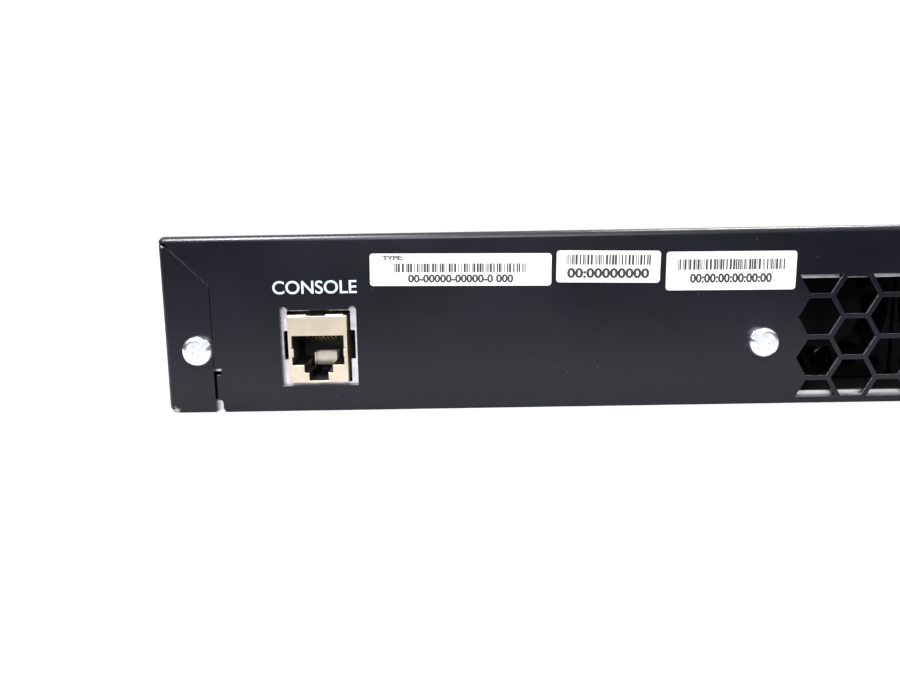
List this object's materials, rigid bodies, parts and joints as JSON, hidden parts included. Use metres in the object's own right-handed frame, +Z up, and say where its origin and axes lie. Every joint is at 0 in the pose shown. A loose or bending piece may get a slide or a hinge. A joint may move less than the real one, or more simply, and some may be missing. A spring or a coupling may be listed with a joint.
{
  "type": "rackmount network switch",
  "caption": "One-unit rackmount switch: dark folded-steel case, rows of front network jacks, rear console jack, hexagonal fan grille, mains inlet and rack ears.",
  "frame": {"origin": "centre of the enclosure's underside, at the height of the surface it stands on", "axes": "+Z up, +Y towards the back with the fan grille and console jack, -Y towards the port side, +X to the right seen from the port side"},
  "size_m": [0.483, 0.3352, 0.044],
  "materials": {
    "cover_paint": "fine matt powder coat, near black",
    "ear_paint": "fine matt powder coat, near black",
    "zinc_sheet": "bare zinc-plated sheet, faint grain",
    "screw_zinc": "bright bluish zinc plate",
    "jack_shield": "warm tin or nickel plate",
    "jack_plastic": "black moulding",
    "contact_gold": "gold flash",
    "bezel_plastic": "fine moulded texture, charcoal",
    "label_stock": "smooth white film label",
    "light_pipe": "clear moulding",
    "button_plastic": "grey moulding",
    "board_laminate": "green solder mask",
    "chip_epoxy": "black epoxy",
    "sink_aluminium": "extruded",
    "fan_plastic": "black glass-filled moulding",
    "coil_copper": "varnished copper winding",
    "winding_tape": "yellow tape over windings and ferrite",
    "can_sleeve": "dark shrink sleeve",
    "brass_pin": "tinned brass",
    "inlet_plastic": "black moulding",
    "wire_sleeve": "soft insulation"
  },
  "bodies": {
    "chassis": {"top_cover": "cover_paint", "base_pan": "zinc_sheet", "rear_panel": "zinc_sheet", "front_panel": "zinc_sheet", "front_bezel": "bezel_plastic", "rack_ear_right": "ear_paint", "rack_ear_left": "ear_paint", "rack_ear_screws": "screw_zinc", "cover_screws": "screw_zinc", "model_label": "label_stock", "serial_label": "label_stock", "address_label": "label_stock", "port_shield_1": "jack_shield", "port_shield_2": "jack_shield", "port_shield_3": "jack_shield", "port_shield_4": "jack_shield", "port_housing_1": "jack_plastic", "port_housing_2": "jack_plastic", "port_housing_3": "jack_plastic", "port_housing_4": "jack_plastic", "port_contacts": "contact_gold", "uplink_shield": "jack_shield", "uplink_housing": "jack_plastic", "uplink_contacts": "contact_gold", "console_shield": "jack_shield", "console_housing": "jack_plastic", "console_contacts": "contact_gold", "sfp_cage": "jack_shield", "sfp_connectors": "jack_plastic", "mains_inlet": "inlet_plastic", "mains_inlet_pins": "brass_pin", "mains_inlet_screws": "screw_zinc", "backup_socket": "inlet_plastic", "backup_socket_pins": "brass_pin", "mode_switch": "inlet_plastic", "status_light_pipes": "light_pipe", "port_light_pipes": "light_pipe", "fan_frame_1": "fan_plastic", "fan_frame_2": "fan_plastic", "fan_frame_3": "fan_plastic", "fan_stators": "coil_copper", "fan_tray": "zinc_sheet", "fan_leads": "wire_sleeve", "main_board": "board_laminate", "board_standoffs": "brass_pin", "board_screws": "screw_zinc", "switch_chips": "chip_epoxy", "chip_heatsinks": "sink_aluminium", "line_magnetics": "chip_epoxy", "poe_cards": "board_laminate", "psu_board": "board_laminate", "psu_transformers": "winding_tape", "psu_capacitors": "can_sleeve", "psu_heatsinks": "sink_aluminium", "power_harness": "wire_sleeve"},
    "fan_rotor_1": {"fan_rotor_1": "fan_plastic"},
    "fan_rotor_2": {"fan_rotor_2": "fan_plastic"},
    "fan_rotor_3": {"fan_rotor_3": "fan_plastic"},
    "mode_button": {"mode_button": "button_plastic", "mode_switch_plunger": "button_plastic"}
  },
  "joints": [
    {"name": "fan_1_spin", "type": "hinge", "parent": "chassis", "child": "fan_rotor_1", "pos_m": [0.04713, 0.132, 0.0216], "axis": [0, 1, 0], "continuous": true},
    {"name": "fan_2_spin", "type": "hinge", "parent": "chassis", "child": "fan_rotor_2", "pos_m": [0.00613, 0.132, 0.0216], "axis": [0, 1, 0], "continuous": true},
    {"name": "fan_3_spin", "type": "hinge", "parent": "chassis", "child": "fan_rotor_3", "pos_m": [-0.03487, 0.132, 0.0216], "axis": [0, 1, 0], "continuous": true},
    {"name": "mode_button_press", "type": "slide", "parent": "chassis", "child": "mode_button", "axis": [0, 1, 0], "range_m": [0, 0.0008], "stiffness_N_per_m": 1500, "springref_m": -0.0004}
  ]
}
